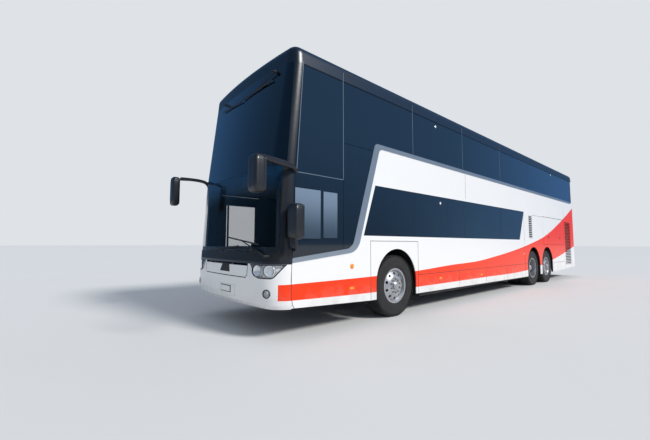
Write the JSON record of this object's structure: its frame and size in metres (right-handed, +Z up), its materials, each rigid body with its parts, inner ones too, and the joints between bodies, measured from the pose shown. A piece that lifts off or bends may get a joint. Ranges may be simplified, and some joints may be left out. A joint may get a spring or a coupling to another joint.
{
  "type": "coach bus",
  "caption": "Double-deck touring coach with opening doors, luggage doors and engine lid, steered front wheels and twin rear wheels; seats, stairs and luggage hold inside.",
  "frame": {"origin": "on the ground under the middle of the overall box", "axes": "+X to the coach's left, +Y towards its tail, +Z up"},
  "size_m": [3.025, 14.47, 3.9998],
  "materials": {
    "body_white": "gloss paint",
    "moulding_silver": "metallic paint",
    "glass_dark": "tinted",
    "screen_glass": "tinted",
    "mask_black": "gloss paint",
    "lamp_clear": "clear",
    "lamp_red": "clear red",
    "grille_silver": "satin paint",
    "frame_black": "satin paint",
    "axle_black": "painted",
    "lining_black": "moulded",
    "rim_silver": "satin",
    "tyre": "worn",
    "floor_grey": "vinyl sheet",
    "seat_blue": "woven",
    "trim_black": "grained",
    "engine_grey": "painted"
  },
  "bodies": {
    "body": {"bulkheads": "trim_black", "chassis_frame": "frame_black", "dashboard": "trim_black", "drive_axle": "axle_black", "engine_block": "engine_grey", "floor_lower": "floor_grey", "floor_upper": "floor_grey", "front_axle": "axle_black", "front_bumper": "body_white", "front_lamps": "lamp_clear", "front_mask": "mask_black", "glass_left": "glass_dark", "glass_rear": "glass_dark", "glass_right": "glass_dark", "luggage_floor": "floor_grey", "mirrors": "trim_black", "rear_wall": "body_white", "roof": "mask_black", "roof_hatches": "body_white", "seats_lower": "seat_blue", "seats_upper": "seat_blue", "side_grilles": "grille_silver", "side_wall_left": "body_white", "side_wall_right": "body_white", "stairs": "floor_grey", "steering_wheel": "trim_black", "tag_axle": "axle_black", "tail_lamps": "lamp_red", "waist_mouldings": "moulding_silver", "wheel_housings": "lining_black", "windscreen_lower": "screen_glass", "windscreen_upper": "screen_glass", "wipers": "trim_black"},
    "knuckle_left": {"knuckle_left": "axle_black"},
    "knuckle_right": {"knuckle_right": "axle_black"},
    "track_rod": {"track_rod": "axle_black"},
    "front_door_arm": {"door_front_arm": "frame_black"},
    "front_door": {"door_front_leaf": "body_white", "door_front_glass": "glass_dark"},
    "middle_door_arm": {"door_middle_arm": "frame_black"},
    "middle_door": {"door_middle_leaf": "body_white", "door_middle_glass": "glass_dark"},
    "luggage_door_left": {"luggage_door_left": "body_white"},
    "luggage_door_right": {"luggage_door_right": "body_white"},
    "engine_lid": {"engine_lid": "body_white"},
    "front_flap": {"front_flap": "body_white"},
    "wheel_front_left": {"rim_front_left": "rim_silver", "tyre_front_left": "tyre"},
    "wheel_front_right": {"rim_front_right": "rim_silver", "tyre_front_right": "tyre"},
    "wheel_drive_left": {"rim_drive_left": "rim_silver", "tyre_drive_left": "tyre"},
    "wheel_drive_right": {"rim_drive_right": "rim_silver", "tyre_drive_right": "tyre"},
    "wheel_tag_left": {"rim_tag_left": "rim_silver", "tyre_tag_left": "tyre"},
    "wheel_tag_right": {"rim_tag_right": "rim_silver", "tyre_tag_right": "tyre"}
  },
  "joints": [
    {"name": "steer_left", "type": "hinge", "parent": "body", "child": "knuckle_left", "pos_m": [1, -4.3, 0.52], "axis": [0, 0, 1], "range_deg": [-40, 40]},
    {"name": "steer_right", "type": "hinge", "parent": "body", "child": "knuckle_right", "pos_m": [-1, -4.3, 0.52], "axis": [0, 0, 1], "range_deg": [-40, 40]},
    {"name": "track_rod_pivot", "type": "hinge", "parent": "knuckle_left", "child": "track_rod", "pos_m": [1, -4.18, 0.363], "axis": [0, 0, 1], "range_deg": [-40, 40]},
    {"name": "roll_front_left", "type": "hinge", "parent": "knuckle_left", "child": "wheel_front_left", "pos_m": [1.1, -4.3, 0.522], "axis": [1, 0, 0], "continuous": true},
    {"name": "roll_front_right", "type": "hinge", "parent": "knuckle_right", "child": "wheel_front_right", "pos_m": [-1.1, -4.3, 0.522], "axis": [1, 0, 0], "continuous": true},
    {"name": "roll_drive_left", "type": "hinge", "parent": "body", "child": "wheel_drive_left", "pos_m": [1.1, 2.5, 0.522], "axis": [1, 0, 0], "continuous": true},
    {"name": "roll_drive_right", "type": "hinge", "parent": "body", "child": "wheel_drive_right", "pos_m": [-1.1, 2.5, 0.522], "axis": [1, 0, 0], "continuous": true},
    {"name": "roll_tag_left", "type": "hinge", "parent": "body", "child": "wheel_tag_left", "pos_m": [1.1, 3.78, 0.522], "axis": [1, 0, 0], "continuous": true},
    {"name": "roll_tag_right", "type": "hinge", "parent": "body", "child": "wheel_tag_right", "pos_m": [-1.1, 3.78, 0.522], "axis": [1, 0, 0], "continuous": true},
    {"name": "front_door_swing", "type": "hinge", "parent": "body", "child": "front_door_arm", "pos_m": [-1.165, -6.27, 1.17], "axis": [0, 0, 1], "range_deg": [0, 110]},
    {"name": "front_door_turn", "type": "hinge", "parent": "front_door_arm", "child": "front_door", "pos_m": [-1.165, -5.67, 1.17], "axis": [0, 0, 1], "range_deg": [-110, 0]},
    {"name": "middle_door_swing", "type": "hinge", "parent": "body", "child": "middle_door_arm", "pos_m": [-1.165, -1.17, 1.17], "axis": [0, 0, 1], "range_deg": [0, 110]},
    {"name": "middle_door_turn", "type": "hinge", "parent": "middle_door_arm", "child": "middle_door", "pos_m": [-1.165, -0.52, 1.17], "axis": [0, 0, 1], "range_deg": [-110, 0]},
    {"name": "luggage_door_left_lift", "type": "hinge", "parent": "body", "child": "luggage_door_left", "pos_m": [1.265, 4.58, 2.126], "axis": [0, -1, 0], "range_deg": [0, 80]},
    {"name": "luggage_door_right_lift", "type": "hinge", "parent": "body", "child": "luggage_door_right", "pos_m": [-1.265, 4.58, 2.126], "axis": [0, 1, 0], "range_deg": [0, 80]},
    {"name": "engine_lid_lift", "type": "hinge", "parent": "body", "child": "engine_lid", "pos_m": [0, 7.22, 1.606], "axis": [1, 0, 0], "range_deg": [0, 75]},
    {"name": "front_flap_lift", "type": "hinge", "parent": "body", "child": "front_flap", "pos_m": [0, -6.8507, 0.951], "axis": [-1, 0, 0], "range_deg": [0, 70]}
  ],
  "couplings": [
    {"joint": "steer_right", "follows": "steer_left", "ratio": 1},
    {"joint": "track_rod_pivot", "follows": "steer_left", "ratio": -1},
    {"joint": "front_door_turn", "follows": "front_door_swing", "ratio": -1},
    {"joint": "middle_door_turn", "follows": "middle_door_swing", "ratio": -1}
  ]
}
